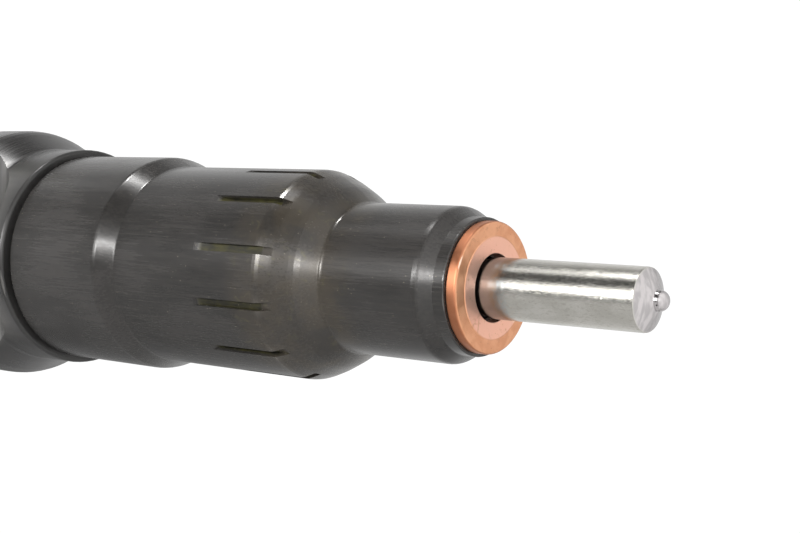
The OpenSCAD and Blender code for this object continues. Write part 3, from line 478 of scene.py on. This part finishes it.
def plated_steel():
    """Zinc plate with a thin clear passivation: a faint yellow-blue shift in patches."""
    f = Finish("plated_steel")
    patch = f.noise((0.22, 0.22, 0.22), 4, 0.6, 0.8)
    grain = f.noise((7, 7, 7), 3)
    marks = f.noise((0.4, 0.4, 5.0), 2)
    color = f.mix(f.ramp(patch, 0.36, 0.62), (0.50, 0.51, 0.52), (0.60, 0.585, 0.50))
    color = f.mix(f.ramp(grain, 0.58, 0.72, 0.0, 0.35), color, (0.36, 0.355, 0.33))
    color = f.mix(f.edge_wear_and_sheen(0.5), color, (0.78, 0.77, 0.74))
    rough = f.math("ADD", f.ramp(patch, 0.3, 0.7, 0.28, 0.40),
                   f.ramp(marks, 0.3, 0.7, -0.02, 0.04))
    f.bump(f.blend(grain, 0.6, marks, 0.4), 0.25, 0.02)
    return f.surface(color, rough, 1.0)


def moulded(name, dark, light, rough, grain_size, bump=0.3, dust=None):
    """Moulded rubber or plastic with a fine eroded grain and slightly polished edges."""
    f = Finish(name)
    cloud = f.noise((0.3, 0.3, 0.3), 3)
    grain = f.noise((grain_size,) * 3, 3, 0.6)
    color = f.mix(f.ramp(cloud, 0.33, 0.67), dark, light)
    color = f.mix(f.ramp(grain, 0.55, 0.75, 0.0, 0.4), color, toned(light, 1.5, 0.004))
    if dust:
        dusty = f.ramp(f.noise((0.9, 0.9, 0.9), 5, 0.7), 0.60, 0.75, 0.0, 0.25)
        color = f.mix(dusty, color, dust)
    color = f.mix(f.edge_wear_and_sheen(0.4), color, toned(light, 1.8, 0.02))
    roughness = f.math("ADD", f.ramp(grain, 0.3, 0.7, rough - 0.06, rough + 0.08),
                       f.ramp(cloud, 0.3, 0.7, -0.03, 0.03))
    f.bump(grain, bump, 0.05)
    return f.surface(color, roughness, 0.0)


def wound_copper():
    """Enamelled copper wire: deep orange with a clear coat."""
    f = Finish("copper_wire")
    cloud = f.noise((0.5, 0.5, 0.5), 3)
    turns = f.noise((0.2, 0.2, 9.0), 2)
    color = f.mix(f.ramp(cloud, 0.35, 0.65), (0.58, 0.24, 0.10), (0.70, 0.33, 0.15))
    color = f.mix(f.ramp(turns, 0.5, 0.7, 0.0, 0.4), color, (0.42, 0.15, 0.06))
    rough = f.ramp(turns, 0.3, 0.7, 0.25, 0.38)
    f.bump(turns, 0.2, 0.02)
    return f.surface(color, rough, 1.0, coat=0.6, coat_rough=0.15)


FINISHES = {
    "nut_steel": nut_steel(),
    "body_steel": body_steel(),
    "nozzle_steel": nozzle_steel(),
    "copper": copper(),
    "plated_steel": plated_steel(),
    "copper_wire": wound_copper(),
    "tool_steel": metal("tool_steel", (0.52, 0.52, 0.50), (0.64, 0.64, 0.62), 0.22),
    "spring_steel": metal("spring_steel", (0.20, 0.21, 0.23), (0.34, 0.35, 0.37), 0.38,
                          (3, 3, 3), bump=0.4),
    "soft_iron": metal("soft_iron", (0.30, 0.31, 0.32), (0.42, 0.43, 0.43), 0.42),
    "magnet_iron": metal("magnet_iron", (0.19, 0.19, 0.20), (0.28, 0.28, 0.29), 0.42,
                         (2.5, 2.5, 2.5)),
    "seal_bronze": metal("seal_bronze", (0.58, 0.44, 0.24), (0.70, 0.57, 0.34), 0.34),
    "rubber": moulded("rubber", (0.010, 0.010, 0.011), (0.020, 0.020, 0.021), 0.48,
                      6.0, 0.35, (0.10, 0.10, 0.10)),
    "ptfe": moulded("ptfe", (0.62, 0.59, 0.51), (0.74, 0.71, 0.64), 0.42, 3.0, 0.15),
    "bobbin_plastic": moulded("bobbin_plastic", (0.030, 0.085, 0.050), (0.045, 0.12, 0.07), 0.45,
                              7.0),
    "insulator": moulded("insulator", (0.42, 0.34, 0.19), (0.55, 0.46, 0.28), 0.5, 4.0),
    "black_plastic": moulded("black_plastic", (0.012, 0.012, 0.013), (0.022, 0.022, 0.023), 0.40,
                             5.5, 0.4, (0.09, 0.09, 0.085)),
}

slot_of = {part["node"]: part["material_slot"] for part in frame["record"]["subparts"]}
for name, obj in frame["nodes"].items():
    finish = FINISHES[slot_of[name]]
    if not obj.material_slots:
        obj.data.materials.append(finish)
    for s in obj.material_slots:
        s.material = finish


# ---------------------------------------------------------------- threaded pieces
THREAD_SHAPE = (0.0, 0.0, 0.45, 1.0, 1.0, 0.55)     # height of the ridge over one pitch
THREAD_LEAD = 1.2                                   # pitches in which a thread fades in
THREAD_START = 0.15                                 # share of the ridge that stands at its end
CHAMFER_STEPS = (0.34, 0.67, 1.0)                   # rows over which a hexagon's chamfer opens


def screw_rows(start, end, pitch, crest, root):
    """Rows of a screw thread's outside between two heights.

    Each row is a function of the turn, from 0 to 1, that gives its height and radius.
    """
    steps = len(THREAD_SHAPE)
    lead = THREAD_LEAD * pitch
    count = int(math.ceil((end - start) / pitch) + 1) * steps

    def row(i):
        def at(turn):
            z = start + pitch * (i / steps + turn - 1)
            fade = max(0.0, min(1.0, (z - start) / lead + THREAD_START,
                                (end - z) / lead + THREAD_START))
            radius = root + (crest - root) * THREAD_SHAPE[i % steps] * fade
            return min(max(z, start), end), radius
        return at

    return [row(i) for i in range(count + 1)]


def fixed(z, radius):
    """Row of a plain circle."""
    return lambda turn: (z, radius)


def hex_row(z, flat_r, limit):
    """Row of a hexagon whose corners are cut back to the radius `limit`."""
    def at(turn):
        a = (turn * 360 + 30) % 60 - 30
        return z, min(flat_r / math.cos(math.radians(a)), limit)
    return at


def revolve(name, rows, segments, close=True):
    """Closed mesh about the Z axis, from rows of (height, radius) in millimetres by the turn."""
    bm = bmesh.new()
    grid = []
    for row in rows:
        line = []
        for i in range(segments + 1):
            turn = i / segments
            z, radius = row(turn)
            a = 2 * math.pi * turn
            point = (radius * math.cos(a) * MM, radius * math.sin(a) * MM, z * MM)
            line.append(bm.verts.new(point))
        grid.append(line)
    pairs = list(zip(grid, grid[1:]))
    if close:
        pairs.append((grid[-1], grid[0]))
    for low, high in pairs:
        for i in range(segments):
            bm.faces.new((low[i], low[i + 1], high[i + 1], high[i]))
    bmesh.ops.remove_doubles(bm, verts=bm.verts, dist=1e-6)
    bmesh.ops.dissolve_degenerate(bm, edges=bm.edges, dist=1e-6)
    bmesh.ops.recalc_face_normals(bm, faces=bm.faces)
    for face in bm.faces:
        face.smooth = True
    mesh = bpy.data.meshes.new(name)
    bm.to_mesh(mesh)
    bm.free()
    mesh.set_sharp_from_angle(angle=math.radians(35))
    obj = bpy.data.objects.new(name, mesh)
    scene.collection.objects.link(obj)
    return obj


def place(obj, matrix, body, finish, replaced):
    obj.data.transform(matrix)
    obj.data.materials.append(FINISHES[finish])
    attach(obj, body)
    if replaced:
        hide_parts(*replaced)
    return obj


def add_connector():
    """High-pressure connection with its pipe thread, in place of the plain CAD one."""
    low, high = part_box("inlet_connector")
    root_x, end_x = low.x / MM, high.x / MM
    centre_z = (low.z + high.z) / 2
    thread_x = end_x - 13.0
    hex_x = thread_x - 6.0
    boss_x = hex_x - 0.8
    boss_r, neck_r = 5.95, 5.4
    flat_r = 8.5
    corner_r = flat_r / math.cos(math.radians(30))
    corner_rise = corner_r - flat_r
    bevel = corner_rise * 0.6
    crest_r, thread_root_r = 6.99, 6.1
    bore_r, mouth_r = 2.1, 5.4
    cone_x = end_x - (mouth_r - bore_r) / math.tan(math.radians(30))
    rows = [fixed(root_x, bore_r), fixed(root_x, 5.55), fixed(root_x + 0.15, 5.8),
            fixed(root_x + 0.4, boss_r), fixed(boss_x - 0.6, boss_r), fixed(boss_x, neck_r),
            fixed(hex_x, neck_r), fixed(hex_x, flat_r)]
    rows += [hex_row(hex_x + bevel * t, flat_r, flat_r + corner_rise * t)
             for t in CHAMFER_STEPS]
    rows += [hex_row(thread_x - bevel * t, flat_r, flat_r + corner_rise * t)
             for t in reversed(CHAMFER_STEPS)]
    rows += [fixed(thread_x, flat_r), fixed(thread_x, 6.05), fixed(thread_x + 0.5, boss_r)]
    rows += screw_rows(thread_x + 0.6, end_x - 0.7, 1.5, crest_r, thread_root_r)
    rows += [fixed(end_x - 0.5, thread_root_r), fixed(end_x - 0.08, 5.75), fixed(end_x, 5.6),
             fixed(end_x, mouth_r), fixed(cone_x, bore_r)]
    obj = revolve("inlet_connector_threaded", rows, 96)
    turn = Matrix.Translation((0, 0, centre_z)) @ Matrix.Rotation(math.radians(90), 4, "Y")
    place(obj, turn, "housing", "plated_steel", ["inlet_connector"])


def add_studs():
    """Terminal studs with their threads, in place of the plain CAD ones."""
    low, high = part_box("terminal_studs")
    washer_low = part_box("terminal_washers")[0].z / MM
    foot_r, foot_len = 3.04, 1.2
    shank_r = 1.77
    crest_r, thread_root_r = 1.99, 1.6
    z0, z1 = low.z / MM, high.z / MM
    stud_x = high.x / MM - foot_r - 0.01
    for side, name in ((-1, "terminal_stud_left"), (1, "terminal_stud_right")):
        rows = [fixed(z0, 0.0), fixed(z0, foot_r - 0.1), fixed(z0 + 0.1, foot_r),
                fixed(z0 + foot_len - 0.1, foot_r), fixed(z0 + foot_len, foot_r - 0.1),
                fixed(z0 + foot_len, shank_r), fixed(washer_low - 0.4, shank_r)]
        rows += screw_rows(washer_low - 0.3, z1 - 0.5, 0.7, crest_r, thread_root_r)
        rows += [fixed(z1 - 0.45, 1.62), fixed(z1 - 0.1, 1.35), fixed(z1, 1.2), fixed(z1, 0.0)]
        obj = revolve(name, rows, 48, close=False)
        shift = Matrix.Translation((side * stud_x * MM, 0, 0))
        place(obj, shift, "housing", "plated_steel", [])
    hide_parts("terminal_studs")
    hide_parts("terminal_studs")


add_connector()
add_studs()

# each spring with the joint that moves it, the end that stands still and the joint's travel in
# millimetres; here each spring only gets a mesh of its own
SPRINGS = (
    ("nozzle_spring", "needle_lift", "top", 0.25),
    ("valve_spring", "armature_lift", "top", 0.05),
    ("armature_spring", "disc_overtravel", "bottom", 0.03),
)
for spring, joint, still_end, travel in SPRINGS:
    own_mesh(frame["nodes"][spring])
